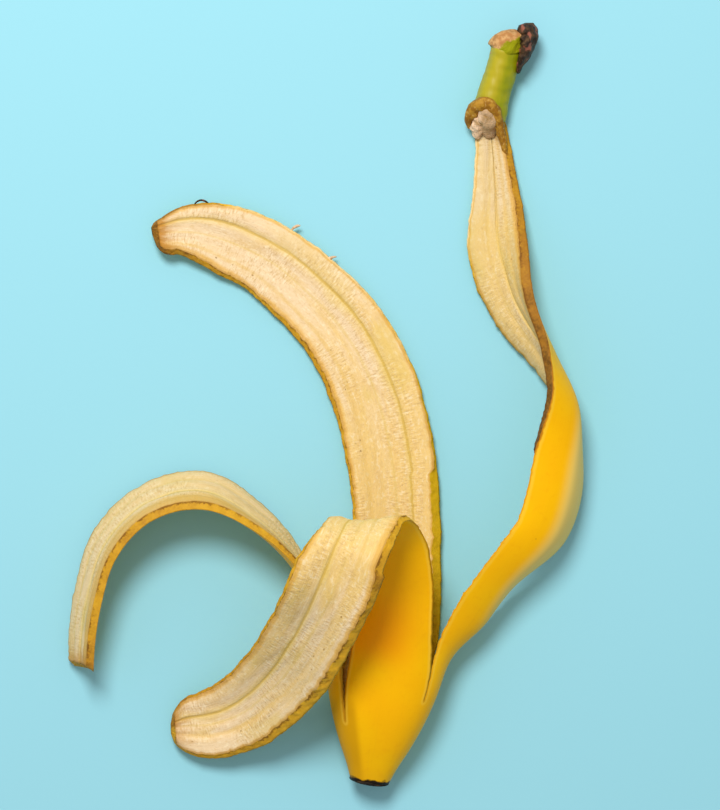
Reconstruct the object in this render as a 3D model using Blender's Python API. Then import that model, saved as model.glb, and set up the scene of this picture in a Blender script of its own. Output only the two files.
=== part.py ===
"""Banana peel lying on the floor: four torn strips still joined at the blossom end, one of them carrying the stem."""
import math

import bmesh
import bpy
import numpy as np

MM = 0.001

# Whole peel, millimetres. East is +X, north is +Y, and the stem lies at the north end.
THICKNESS = 2.8
TORN_BEVEL = 1.8
WIDEST_INSET = 0.22
SETTLE = 0.4
CENTRE_EAST = -0.19
CENTRE_NORTH = 0.48

# Blossom end: a cone lying on its side, from the black tip to where the strips part.
TIP_EAST = 12.85
TIP_NORTH = -112.5
BASE_BEARING = 7.5
BASE_ALONG = (0, 4, 12, 20, 30, 45, 60)
BASE_HALF_WIDTH = (5.7, 7.2, 10.9, 14.0, 16.8, 18.2, 18.7)
BASE_HALF_HEIGHT = (4.6, 5.8, 8.3, 9.9, 10.9, 11.4, 11.4)
BASE_AXIS_HEIGHT = (7.0, 7.5, 8.8, 10.0, 10.9, 11.4, 11.4)
BASE_SQUARENESS = 0.82
TIP_BULGE = 0.8
TIP_WALL = 6.0

# Strips as a grid of rows along and columns across.
COLUMNS = 8
BASE_ROW = 3.0
STRIP_ROW = 3.3
COMMON_ROWS = 10
FIRST_STATION = 18.0
BLEND_LENGTH = 26.0
RIDGE_START = 34.0
RIDGE_RAMP = 24.0
BEVEL_RAMP = 8.0

# Where each pair of neighbours parts, measured along the skin from the tip.
SPLIT_INNER_TOP = 18.0
SPLIT_TOP_OUTER = 27.0
SPLIT_OUTER_UNDER = 30.0
SPLIT_UNDER_INNER = 24.0

# Each strip: the part of the base ring it grows from (degrees clockwise from the top, seen from
# the tip), its two splits, how its far end is rounded (length on each side, and depth), its soft
# long ridge (place across, height), and its stations: east, north and height of the middle of
# the skin, bearing and rise of the line across to the clockwise edge, width, and bow.
TOP_STRIP = {
    "ring": (-42, 48), "splits": (SPLIT_INNER_TOP, SPLIT_TOP_OUTER),
    "end": (9, 14, 0.85), "ridge": (-0.3, 1.4),
    "stations": (
        (19.2, -68.7, 24.5, 85, 0, 23.8, 46),
        (19.4, -54.1, 26.0, 82, 0, 25.0, 40),
        (16.7, -42.6, 29.8, 83, 6, 25.0, 25),
        (10.9, -35.8, 38.5, 94, 16, 25.0, 12),
        (7.2, -40.9, 46.5, 104, 10, 25.0, 22),
        (3.2, -49.2, 45.0, 108, 0, 25.5, 35),
        (-4.6, -67.2, 33.0, 118, 5, 25.4, 40),
        (-14.5, -82.3, 18.0, 130, 5, 24.6, 40),
        (-28.1, -93.2, 7.0, 150, 0, 22.5, 40),
        (-46.6, -97.2, 3.0, 175, 0, 18.0, 40),
    ),
}
OUTER_STRIP = {
    "ring": (48, 130), "splits": (SPLIT_TOP_OUTER, SPLIT_OUTER_UNDER),
    "end": (1, 1, 0.0), "ridge": (0.05, 3.2),
    "stations": (
        (40.4, -73.2, 11.5, 106, -62, 21.2, 64),
        (52.3, -54.4, 15.0, 122, -57, 21.8, 45),
        (66.8, -37.6, 17.0, 116, -43, 23.4, 50),
        (72.1, -18.0, 17.0, 106, -44, 23.5, 62),
        (73.6, -1.2, 14.5, 122, -66, 22.0, 68),
        (67.3, 14.5, 10.0, 211, -70, 19.4, 50),
        (57.2, 31.0, 6.0, 237, -42, 20.0, 45),
        (52.1, 47.6, 3.0, 259, -20, 19.5, 40),
        (51.0, 64.2, 0.7, 267, -6, 14.2, 50),
        (49.0, 85.2, 0.0, 265, 0, 9.6, 60),
    ),
}
UNDER_STRIP = {
    "ring": (130, 228), "splits": (SPLIT_OUTER_UNDER, SPLIT_UNDER_INNER),
    "end": (22, 5, 0.85), "ridge": (0.1, 0.8),
    "stations": (
        (20.4, -70.8, 0.0, 277, 0, 27.4, 70),
        (21.2, -46.8, 0.0, 270, 0, 27.0, 50),
        (20.2, -22.8, 0.0, 263, 0, 27.2, 45),
        (14.7, 2.8, 0.0, 250, 0, 27.4, 42),
        (6.9, 19.4, 0.0, 237, 0, 26.4, 42),
        (-6.0, 34.0, 0.0, 223, 0, 24.7, 42),
        (-16.9, 42.9, 0.5, 213, 0, 23.2, 42),
        (-28.9, 48.8, 1.5, 201, 0, 21.6, 42),
        (-40.8, 52.0, 3.0, 186, 0, 18.6, 45),
        (-52.2, 51.8, 4.5, 170, 0, 15.0, 45),
    ),
}
INNER_STRIP = {
    "ring": (228, 318), "splits": (SPLIT_UNDER_INNER, SPLIT_INNER_TOP),
    "end": (2, 2, 0.15), "ridge": (0.0, 0.5),
    "stations": (
        (-0.3, -69.9, 11.2, 270, 90, 21.5, 60),
        (-9.8, -48.7, 11.5, 244, 85, 21.5, 50),
        (-21.9, -35.9, 11.0, 220, 73, 21.5, 50),
        (-37.2, -27.7, 10.5, 185, 61, 21.5, 40),
        (-53.4, -31.8, 10.2, 150, 60, 21.5, 40),
        (-64.2, -43.5, 9.8, 123, 60, 20.5, 40),
        (-68.8, -58.1, 9.2, 107, 61, 19.5, 40),
        (-70.8, -78.7, 8.2, 95, 63, 18.0, 40),
    ),
}
STRIPS = (TOP_STRIP, OUTER_STRIP, UNDER_STRIP, INNER_STRIP)

# Stem: rings along its axis, each with east, north, height, half width and half height.
STEM_SIDES = 16
STEM_RINGS = (
    (48.5, 82.0, 3.6, 3.4, 2.4),
    (48.6, 85.5, 5.0, 4.8, 4.3),
    (48.9, 89.0, 5.5, 5.4, 5.1),
    (49.9, 92.7, 5.7, 4.9, 4.9),
    (51.4, 97.5, 6.1, 4.7, 4.7),
    (52.8, 102.9, 6.7, 4.7, 4.7),
    (54.6, 107.1, 7.3, 5.8, 4.9),
    (56.3, 110.4, 7.7, 6.2, 4.9),
    (57.2, 112.2, 7.9, 4.6, 3.6),
)


def ease(x):
    """Smooth step from 0 to 1."""
    x = np.clip(x, 0, 1)
    return x * x * (3 - 2 * x)


def curve(knots, values, at):
    """Smooth curve through the values, its slopes taken from a parabola through each three."""
    knots = np.asarray(knots, float)
    values = np.asarray(values, float)
    at = np.asarray(at, float)
    tail = (1,) * (values.ndim - 1)
    step = np.diff(knots)
    slope = np.diff(values, axis=0) / step.reshape((-1,) + tail)
    share = (step[1:] / (step[1:] + step[:-1])).reshape((-1,) + tail)
    tangent = np.empty_like(values)
    tangent[1:-1] = share * slope[:-1] + (1 - share) * slope[1:]
    tangent[0] = 2 * slope[0] - tangent[1]
    tangent[-1] = 2 * slope[-1] - tangent[-2]
    i = np.clip(np.searchsorted(knots, at, side="right") - 1, 0, len(step) - 1)
    t = ((at - knots[i]) / step[i]).reshape((-1,) + tail)
    h = step[i].reshape(t.shape)
    t2 = t * t
    t3 = t2 * t
    start = (2 * t3 - 3 * t2 + 1) * values[i] + (t3 - 2 * t2 + t) * h * tangent[i]
    stop = (3 * t2 - 2 * t3) * values[i + 1] + (t3 - t2) * h * tangent[i + 1]
    return start + stop


def unit(vectors):
    return vectors / np.linalg.norm(vectors, axis=-1, keepdims=True)


def base_point(along, ring):
    """Skin of the closed cone: distance from the tip, angle round the ring."""
    lean = math.radians(BASE_BEARING)
    axis = np.array([math.sin(lean), math.cos(lean), 0.0])
    side = np.array([math.cos(lean), -math.sin(lean), 0.0])
    width = curve(BASE_ALONG, BASE_HALF_WIDTH, along)
    height = curve(BASE_ALONG, BASE_HALF_HEIGHT, along)
    middle = curve(BASE_ALONG, BASE_AXIS_HEIGHT, along)
    point = np.array([TIP_EAST, TIP_NORTH, 0.0]) + axis * along[:, None]
    sine = np.sin(ring)
    cosine = np.cos(ring)
    point = point + side * (width * np.sign(sine) * np.abs(sine) ** BASE_SQUARENESS)[:, None]
    point[:, 2] += middle + height * np.sign(cosine) * np.abs(cosine) ** BASE_SQUARENESS
    return point


def arc_length(points):
    return np.concatenate([[0.0], np.cumsum(np.linalg.norm(np.diff(points, axis=0), axis=1))])


def across_line(bearing, rise):
    b = math.radians(bearing)
    r = math.radians(rise)
    return (math.sin(b) * math.cos(r), math.cos(b) * math.cos(r), math.sin(r))


class Strip:
    """Skin of one strip, as a function of the distance along and the place across (-1 to 1)."""

    def __init__(self, shape):
        self.ring = np.radians(shape["ring"])
        self.splits = shape["splits"]
        self.end = shape["end"]
        self.ridge = shape["ridge"]
        stations = np.array(shape["stations"], float)
        root = np.array([FIRST_STATION - 12.0, FIRST_STATION])
        middle = np.full(2, self.ring.mean())
        path = np.vstack([base_point(root, middle), stations[:, :3]])
        chord = arc_length(path)
        fine = np.linspace(0, chord[-1], 1500)
        self.path = curve(chord, path, fine)
        walked = arc_length(self.path)
        shift = FIRST_STATION - np.interp(chord[1], fine, walked)
        self.walked = walked + shift
        self.length = self.walked[-1]
        self.knots = np.interp(chord[1:], fine, self.walked)
        self.travel = unit(np.gradient(self.path, axis=0))
        rim = base_point(np.full(40, FIRST_STATION), np.linspace(*self.ring, 40))
        root_across = unit(rim[-1] - rim[0])
        self.across = np.vstack([root_across, [across_line(*row[3:5]) for row in stations]])
        self.width = np.concatenate([[arc_length(rim)[-1]], stations[:, 5]])
        self.bow = np.concatenate([[self.ring[1] - self.ring[0]], np.radians(stations[:, 6])])

    def spread(self, along):
        """Middle of the skin, and the directions across and outward."""
        point = np.stack([np.interp(along, self.walked, self.path[:, k]) for k in range(3)], -1)
        travel = unit(np.stack([np.interp(along, self.walked, self.travel[:, k]) for k in range(3)], -1))
        across = curve(self.knots, self.across, along)
        across = unit(across - travel * (across * travel).sum(-1, keepdims=True))
        return point, across, np.cross(across, travel)

    def trimmed(self, along, place):
        """Narrow the strip towards its rounded end, each side over its own length."""
        left = self.length - along
        low, high, depth = self.end
        cut = [depth * (1 - np.sqrt(1 - (1 - np.clip(left / size, 0, 1)) ** 2)) for size in (low, high)]
        return (-1 + cut[0]) + (2 - cut[0] - cut[1]) * (place + 1) / 2

    def free_point(self, along, place):
        """Skin past the split: a bowed section with a soft ridge, carried along the path."""
        along = np.maximum(along, FIRST_STATION)
        point, across, outward = self.spread(along)
        width = curve(self.knots, self.width, along)
        bow = curve(self.knots, self.bow, along)
        place = self.trimmed(along, place)
        radius = width / bow
        angle = bow / 2 * place
        where, height = self.ridge
        crest = height * width / 24.0 * (0.5 - np.sqrt((place - where) ** 2 + 0.02))
        crest = crest * ease((along - RIDGE_START) / RIDGE_RAMP)
        point = point + across * (radius * np.sin(angle))[:, None]
        return point + outward * (radius * (np.cos(angle) - 1) + crest)[:, None]

    def point(self, along, place):
        """Skin of the strip, blended from the base ring into its own path after each split."""
        ring = self.ring[0] + (self.ring[1] - self.ring[0]) * (place + 1) / 2
        closed = base_point(np.minimum(along, BASE_ALONG[-1]), ring)
        low, high = [ease((along - split) / BLEND_LENGTH) for split in self.splits]
        free = (low + (high - low) * (place + 1) / 2)[:, None]
        return closed * (1 - free) + self.free_point(along, place) * free

    def torn_inset(self, along, side):
        """How far the inner layer stays back from a torn edge, as a part of the half width."""
        width = curve(self.knots, self.width, np.maximum(along, FIRST_STATION))
        inset = np.minimum(2 * TORN_BEVEL / width, WIDEST_INSET)
        return ease((along - self.splits[side]) / BEVEL_RAMP) * inset


class Shell:
    """Outer and inner layers of the whole peel, welded along the seams that still hold."""

    def __init__(self):
        self.outer = []
        self.inner_at = []
        self.faces = []
        self.grids = []
        self.strips = [Strip(shape) for shape in STRIPS]
        for number, strip in enumerate(self.strips):
            self.grids.append(self.number_grid(number, strip))

    def rows(self, strip):
        common = np.arange(COMMON_ROWS + 1) * BASE_ROW
        count = round((strip.length - common[-1]) / STRIP_ROW)
        return np.concatenate([common, np.linspace(common[-1], strip.length, count + 1)[1:]])

    def number_grid(self, number, strip):
        """Vertex numbers of one strip, sharing the seam columns below each split."""
        along = self.rows(strip)
        places = np.linspace(-1, 1, COLUMNS + 1)
        grid = np.zeros((len(along), len(places)), int)
        for i, distance in enumerate(along):
            for j, place in enumerate(places):
                if j == 0 and number > 0 and distance <= strip.splits[0]:
                    grid[i, j] = self.grids[number - 1][i, -1]
                elif j == COLUMNS and number == 3 and distance <= strip.splits[1]:
                    grid[i, j] = self.grids[0][i, 0]
                else:
                    grid[i, j] = len(self.outer)
                    self.outer.append(strip.point(np.array([distance]), np.array([place]))[0])
                    self.inner_at.append(self.inner_place(strip, distance, place))
        return grid

    def inner_place(self, strip, distance, place):
        """Point of the skin under which the inner layer's vertex lies."""
        side = 0 if place < 0 else 1
        inset = strip.torn_inset(np.array([distance]), side)[0]
        if distance > strip.length - 0.5 * STRIP_ROW and strip.end[2] > 0:
            distance = distance - TORN_BEVEL
        return strip.point(np.array([distance]), np.array([place * (1 - inset)]))[0]

    def add_quads(self, grid, shift, turned, first_row):
        for i in range(first_row, grid.shape[0] - 1):
            for j in range(grid.shape[1] - 1):
                quad = (grid[i, j], grid[i, j + 1], grid[i + 1, j + 1], grid[i + 1, j])
                quad = tuple(int(v) + shift for v in quad)
                self.faces.append(quad[::-1] if turned else quad)

    def add_wall(self, line, shift, turned):
        """Torn face between the outer and the inner layer, along a line of vertices."""
        for a, b in zip(line[:-1], line[1:]):
            quad = (int(a), int(b), int(b) + shift, int(a) + shift)
            self.faces.append(quad if turned else quad[::-1])

    def outward(self, points):
        """Outward direction at each vertex, from the faces round it."""
        total = np.zeros_like(points)
        for face in self.faces:
            a, b, c, d = (points[v] for v in face)
            turn = np.cross(c - a, d - b)
            for v in face:
                total[v] += turn
        return unit(total)

    def close_ring(self, ring, centre, points, turned):
        """Fan of triangles over a closed ring of vertices."""
        hub = len(points)
        points.append(centre)
        for a, b in zip(ring, ring[1:] + ring[:1]):
            self.faces.append((hub, a, b) if turned else (hub, b, a))

    def build(self):
        outer = np.array(self.outer)
        for grid in self.grids:
            self.add_quads(grid, 0, False, 0)
        inner = np.array(self.inner_at) - self.outward(outer) * THICKNESS
        shift = len(outer)
        first_inner = round(TIP_WALL / BASE_ROW)
        for grid in self.grids:
            self.add_quads(grid, shift, True, first_inner)
        for strip, grid in zip(self.strips, self.grids):
            for side, column in ((0, 0), (1, -1)):
                start = round(strip.splits[side] / BASE_ROW)
                self.add_wall(grid[start:, column], shift, side == 0)
            self.add_wall(grid[-1, :], shift, True)
        points = [tuple(p) for p in np.vstack([outer, inner])]
        ring = [int(v) for grid in self.grids for v in grid[0, :-1]]
        axis = base_point(np.array([-TIP_BULGE, TIP_WALL]), np.array([math.pi / 2] * 2))
        other = base_point(np.array([-TIP_BULGE, TIP_WALL]), np.array([-math.pi / 2] * 2))
        centres = (axis + other) / 2
        self.close_ring(ring, tuple(centres[0]), points, False)
        mouth = [int(v) + shift for grid in self.grids for v in grid[first_inner, :-1]]
        self.close_ring(mouth, tuple(centres[1]), points, True)
        return points, self.faces


def make_mesh(name, points, faces):
    """Mesh object from points in millimetres, leaving out points no face uses."""
    mesh = bpy.data.meshes.new(name)
    mesh.from_pydata([[c * MM for c in p] for p in points], [], faces)
    edit = bmesh.new()
    edit.from_mesh(mesh)
    loose = [v for v in edit.verts if not v.link_faces]
    bmesh.ops.delete(edit, geom=loose, context="VERTS")
    bmesh.ops.recalc_face_normals(edit, faces=edit.faces)
    edit.to_mesh(mesh)
    edit.free()
    thing = bpy.data.objects.new(name, mesh)
    bpy.context.collection.objects.link(thing)
    return thing


def stem_points():
    """Rings of the stem, each square to the path through their middles."""
    rings = np.array(STEM_RINGS)
    travel = unit(np.gradient(rings[:, :3], axis=0))
    side = unit(np.cross(travel, [0.0, 0.0, 1.0]))
    above = np.cross(side, travel)
    turn = np.arange(STEM_SIDES) * 2 * math.pi / STEM_SIDES
    points = []
    for ring, s, a in zip(rings, side, above):
        for t in turn:
            points.append(tuple(ring[:3] + s * ring[3] * math.cos(t) + a * ring[4] * math.sin(t)))
    return points


def build_stem():
    points = stem_points()
    faces = []
    count = len(STEM_RINGS)
    for i in range(count - 1):
        for j in range(STEM_SIDES):
            k = (j + 1) % STEM_SIDES
            low = i * STEM_SIDES
            faces.append((low + j, low + k, low + STEM_SIDES + k, low + STEM_SIDES + j))
    faces.append(tuple(range(STEM_SIDES))[::-1])
    faces.append(tuple(range((count - 1) * STEM_SIDES, count * STEM_SIDES)))
    return make_mesh("stem", points, faces)


def join_bodies(body, other):
    """One solid out of two that overlap."""
    union = body.modifiers.new("join", "BOOLEAN")
    union.operation = "UNION"
    union.solver = "EXACT"
    union.object = other
    shapes = bpy.context.evaluated_depsgraph_get()
    joined = bpy.data.meshes.new_from_object(body.evaluated_get(shapes))
    body.modifiers.clear()
    body.data = joined
    bpy.data.objects.remove(other, do_unlink=True)


def settle(body):
    """Let the peel sink a little, flat where it touches the floor, and centre it."""
    for vertex in body.data.vertices:
        vertex.co.z = max(vertex.co.z - SETTLE * MM, 0.0)
        vertex.co.x -= CENTRE_EAST * MM
        vertex.co.y -= CENTRE_NORTH * MM


def peel_material():
    skin = bpy.data.materials.new("peel_skin")
    skin.use_nodes = True
    shader = skin.node_tree.nodes["Principled BSDF"]
    shader.inputs["Base Color"].default_value = (0.9, 0.55, 0.02, 1.0)
    shader.inputs["Roughness"].default_value = 0.45
    return skin


def build_peel():
    points, faces = Shell().build()
    peel = make_mesh("banana_peel", points, faces)
    join_bodies(peel, build_stem())
    settle(peel)
    for polygon in peel.data.polygons:
        polygon.use_smooth = True
    peel.data.materials.clear()
    peel.data.materials.append(peel_material())
    return peel


for thing in list(bpy.data.objects):
    bpy.data.objects.remove(thing, do_unlink=True)
build_peel()
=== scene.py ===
import math

import bmesh
import bpy
import numpy as np
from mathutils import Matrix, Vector


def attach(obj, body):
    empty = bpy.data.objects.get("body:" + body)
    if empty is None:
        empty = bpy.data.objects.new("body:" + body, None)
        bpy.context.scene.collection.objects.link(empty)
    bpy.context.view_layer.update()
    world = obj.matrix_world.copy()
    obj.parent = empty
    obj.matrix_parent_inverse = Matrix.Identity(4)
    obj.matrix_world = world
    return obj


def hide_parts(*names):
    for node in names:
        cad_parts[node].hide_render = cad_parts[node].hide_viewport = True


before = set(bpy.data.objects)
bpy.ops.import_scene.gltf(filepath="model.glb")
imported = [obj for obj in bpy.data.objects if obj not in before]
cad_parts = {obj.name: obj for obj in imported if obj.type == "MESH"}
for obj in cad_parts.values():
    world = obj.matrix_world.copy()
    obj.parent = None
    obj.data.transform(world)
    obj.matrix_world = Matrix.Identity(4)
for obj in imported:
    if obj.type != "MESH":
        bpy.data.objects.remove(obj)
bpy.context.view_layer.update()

MM = 0.001

# The photograph: straight down from above, 0.30 mm to a pixel at the floor.
FRAME_HEIGHT = 810
PIXEL = 0.30
CAMERA_HEIGHT = 900.0
CAMERA_EAST = 10.24
CAMERA_NORTH = -0.78
SENSOR = 36.0

# A soft round lamp north of the peel, a plain sky and a wide floor, in metres and watts.
LAMP_AIM = (0.0, 0.0, 0.01)
LAMP_AWAY = (-0.17, 0.56, 1.0)
LAMP_DISTANCE = 0.95
LAMP_SIZE = 0.36
LAMP_POWER = 7.8
SKY_STRENGTH = 0.46
FLOOR_SIZE = 2.5

# The peel in millimetres, as in the solid it stands for.
THICKNESS = 2.8
SETTLE = 0.4
CENTRE_EAST = -0.19
CENTRE_NORTH = 0.48

TIP_EAST = 12.85
TIP_NORTH = -112.5
BASE_BEARING = 7.5
BASE_ALONG = (0, 4, 12, 20, 30, 45, 60)
BASE_HALF_WIDTH = (5.7, 7.2, 10.9, 14.0, 16.8, 18.2, 18.7)
BASE_HALF_HEIGHT = (4.6, 5.8, 8.3, 9.9, 10.9, 11.4, 11.4)
BASE_AXIS_HEIGHT = (7.0, 7.5, 8.8, 10.0, 10.9, 11.4, 11.4)
BASE_SQUARENESS = 0.82
TIP_WALL = 6.0

# Mesh of the skin: columns across a strip and a torn face, distance between rows, fine steps.
COLUMNS = 32
RIM_COLUMNS = 5
BASE_ROW = 0.75
STRIP_ROW = 0.8
COMMON_LENGTH = 30.0
PATH_STEPS = 1500
RING_STEPS = 40
WELD = 0.000001

# How a strip leaves the base, and how its soft ridge grows.
FIRST_STATION = 18.0
ROOT_LEAD = 12.0
BLEND_LENGTH = 26.0
RIDGE_GROWTH = (34.0, 24.0)
RIDGE_WIDTH = 24.0
RIDGE_LIFT = 0.5
RIDGE_ROUND = 0.02

# Torn edges: how they grow after the split, how far they stand out or stay back, and how the
# skin thins towards them. Each uneven line has a seed and its longest and shortest wave.
EDGE_RAMP = 6.0
EDGE_POWER = 5
EDGE_UNEVEN = 0.22
EDGE_SEED = 10
INSET_RAMP = 8.0
INSET_UNEVEN = 0.08
INSET_UNEVEN_SHARE = 0.1
INSET_SEED = 30
INSET_WAVES = (7.0, 0.8)
LEAST_INSET = -0.06
WIDEST_INSET = 0.22
END_SET_BACK = 2.3 * 0.8
END_RAMP = 5.0
THIN_RAMP = 8.0
THIN_POWER = 6
RIM_UNEVEN = 0.22
RIM_FADE_ROWS = 3.0
RIM_SEED = 50
RIM_WAVES = (5.0, 0.9)
END_SEED = 90

# Relief of the inner face: lengthwise grooves that wander, shallow dents, and three veins.
GROOVE_DEPTH = 0.10
GROOVE_TURN = 1.25
GROOVE_WANDER = 1.2
GROOVE_SEED = 70
GROOVE_WAVES = (40.0, 9.0, 5)
DENT_DEPTH = 0.07
DENT_SEED = 80
DENT_WAVES = (17.0, 4.0, 5)
VEIN_DEPTHS = (0.32, 0.2, 0.12)
VEIN_WIDTH = 0.75
VEIN_WANDER = 0.2
RELIEF_GROWTH = (8.0, 12.0)
RELIEF_POWER = 4

# Pale facet of the outer side, a painted sheen: start and length of its ramps along the strip and across
# it.
SHEEN_START = (48, 20)
SHEEN_STOP = (118, 14)
SHEEN_SIDE = (-0.3, 0.4)

# Round pieces: ribs and lumps are given for this radius.
ROUND_RADIUS = 4.5
RIB_COUNT = 3
RIB_TURN = 0.6
LUMP_WAVES = 6
LUMP_PITCH = (2.0, 7.0)
LUMP_FALL = 0.3
ROUND_WELD = 0.00002
SCAR_RISE = 0.1

SPLIT_INNER_TOP = 18.0
SPLIT_TOP_OUTER = 27.0
SPLIT_OUTER_UNDER = 30.0
SPLIT_UNDER_INNER = 24.0

# Each strip as in the solid. For its looks: veins of the inner face (place across at the start,
# middle and end), how strong the painted sheen on its pale outer facet, how much painted shade dulls
# its inner face, how yellow that face is along it, and each torn side: distance along, set-back of the
# inner layer, share of the thickness left, how brown it is, how far the edge stands out, and the width of
# the stain beside it.
TOP_STRIP = {
    "ring": (-42, 48), "splits": (SPLIT_INNER_TOP, SPLIT_TOP_OUTER),
    "end": (9, 14, 0.85), "ridge": (-0.3, 1.4),
    "stations": (
        (19.2, -68.7, 24.5, 85, 0, 23.8, 46), (19.4, -54.1, 26.0, 82, 0, 25.0, 40),
        (16.7, -42.6, 29.8, 83, 6, 25.0, 25), (10.9, -35.8, 38.5, 94, 16, 25.0, 12),
        (7.2, -40.9, 46.5, 104, 10, 25.0, 22), (3.2, -49.2, 45.0, 108, 0, 25.5, 35),
        (-4.6, -67.2, 33.0, 118, 5, 25.4, 40), (-14.5, -82.3, 18.0, 130, 5, 24.6, 40),
        (-28.1, -93.2, 7.0, 150, 0, 22.5, 40), (-46.6, -97.2, 3.0, 175, 0, 18.0, 40),
    ),
    "veins": ((-0.42, -0.30, -0.35), (0.30, 0.45, 0.35), (0.05, 0.1, 0.0)),
    "warm": ((18, 0.8), (86, 0.9), (100, 0.9), (118, 0.45), (150, 0.5), (190, 0.2)),
    "torn": (
        ((18, 1.0, 0.6, 0.1, 0, 1), (80, 0.5, 0.5, 0.2, 0, 1), (87, 0.3, 0.5, 0.25, -1.7, 3),
         (95, 0.3, 0.5, 0.3, -2.0, 3), (104, 0.3, 0.45, 0.3, -0.2, 2), (150, 0.3, 0.4, 0.4, 0.3, 2),
         (190, 0.3, 0.4, 0.6, 0, 1.5)),
        ((27, 1.2, 0.6, 0.2, 0, 1), (84, 0.8, 0.6, 0.25, 0, 4), (97.2, 1.8, 0.8, 0.4, -0.6, 4.5),
         (98, 1.6, 0.8, 0.6, 0.5, 3), (106, 1.0, 0.8, 0.4, 0.2, 3), (125, 1.8, 0.8, 0.25, 0, 2.5),
         (150, 2.3, 0.8, 0.2, 0.2, 1.5), (165, 1.6, 0.7, 0.3, 0, 1.5), (175, 1.0, 0.6, 0.35, 0, 1),
         (190, 0.5, 0.5, 0.35, 0, 1)),
    ),
}
OUTER_STRIP = {
    "ring": (48, 130), "splits": (SPLIT_TOP_OUTER, SPLIT_OUTER_UNDER),
    "end": (1, 1, 0.0), "ridge": (0.05, 3.2),
    "stations": (
        (40.4, -73.2, 11.5, 106, -62, 21.2, 64), (52.3, -54.4, 15.0, 122, -57, 21.8, 45),
        (66.8, -37.6, 17.0, 116, -43, 23.4, 50), (72.1, -18.0, 17.0, 106, -44, 23.5, 62),
        (73.6, -1.2, 14.5, 122, -66, 22.0, 68), (67.3, 14.5, 10.0, 211, -70, 19.4, 50),
        (57.2, 31.0, 6.0, 237, -42, 20.0, 45), (52.1, 47.6, 3.0, 259, -20, 19.5, 40),
        (51.0, 64.2, 0.7, 267, -6, 14.2, 50), (49.0, 85.2, 0.0, 265, 0, 9.6, 60),
    ),
    "veins": ((0.0, -0.15, 0.05), (-0.55, -0.5, -0.5), (0.5, 0.45, 0.4)),
    "pale": 1.0,
    "dull": 0.7,
    "warm": ((18, 0.7), (150, 0.5), (172, 0.9), (184, 0.8), (196, 0.3), (220, 0.2)),
    "torn": (
        ((27, 0.9, 0.5, 0.1, 0, 1), (110.4, 0.5, 0.5, 0.12, 0, 1), (111.2, -0.2, 1.0, 0.95, 0.0, 1),
         (120, -0.2, 1.0, 0.9, 0.0, 1), (134, 0.4, 1.0, 0.9, 0, 3), (164, 1.0, 1.0, 0.75, 0, 3),
         (182, 0.9, 0.9, 0.65, 0, 3), (200, 0.8, 0.8, 0.55, 0, 2.5), (220, 0.8, 0.8, 0.5, 0, 2)),
        ((30, 1.2, 0.6, 0.2, 0, 1), (150, 0.3, 0.5, 0.3, 0, 1.5), (176, 0.3, 0.4, 0.1, 0, 1),
         (186, 0.2, 0.2, -0.4, 0, 0.2), (212, 0.2, 0.2, -0.4, 0, 0.2), (220, 0.3, 0.4, 0.2, 0, 0.4)),
    ),
}
UNDER_STRIP = {
    "ring": (130, 228), "splits": (SPLIT_OUTER_UNDER, SPLIT_UNDER_INNER),
    "end": (22, 5, 0.85), "ridge": (0.1, 0.8),
    "stations": (
        (20.4, -70.8, 0.0, 277, 0, 27.4, 70), (21.2, -46.8, 0.0, 270, 0, 27.0, 50),
        (20.2, -22.8, 0.0, 263, 0, 27.2, 45), (14.7, 2.8, 0.0, 250, 0, 27.4, 42),
        (6.9, 19.4, 0.0, 237, 0, 26.4, 42), (-6.0, 34.0, 0.0, 223, 0, 24.7, 42),
        (-16.9, 42.9, 0.5, 213, 0, 23.2, 42), (-28.9, 48.8, 1.5, 201, 0, 21.6, 42),
        (-40.8, 52.0, 3.0, 186, 0, 18.6, 45), (-52.2, 51.8, 4.5, 170, 0, 15.0, 45),
    ),
    "veins": ((-0.48, -0.46, -0.52), (0.66, 0.62, 0.62), (-0.10, -0.02, 0.05)),
    "warm": ((18, 0.9), (90, 0.9), (120, 0.6), (150, 0.35), (180, 0.1), (206, 0.2)),
    "torn": (
        ((30, 2.0, 0.8, 0.1, 0, 1), (91.2, 1.9, 0.8, 0.05, 0, 1), (92, 0.2, 0.5, 0.3, 0, 1.5),
         (110, 0.2, 0.3, 0.0, 0, 1), (150, 0.2, 0.3, -0.3, 0, 1), (184, 0.2, 0.3, -0.2, 0, 1),
         (190, 0.2, 0.4, 0.4, 0, 1.5), (197, 0.2, 0.4, 0.65, -0.4, 2),
         (203, 0.3, 0.4, 0.8, -1.8, 2), (206, 0.3, 0.4, 0.8, -1.5, 2)),
        ((24, 0.3, 0.5, 0.2, 0, 1.5), (105, 0.3, 0.5, 0.3, 0, 1.5), (120, 0.8, 0.6, 0.4, 0, 2.5),
         (150, 0.8, 0.6, 0.4, 0, 2.5), (165, 0.4, 0.5, 0.2, 0, 1.5), (185, 0.8, 0.6, 0.45, 0, 3),
         (198, 1.0, 0.7, 0.6, -0.9, 4), (206, 1.2, 0.7, 0.8, 0.6, 4)),
    ),
}
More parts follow.
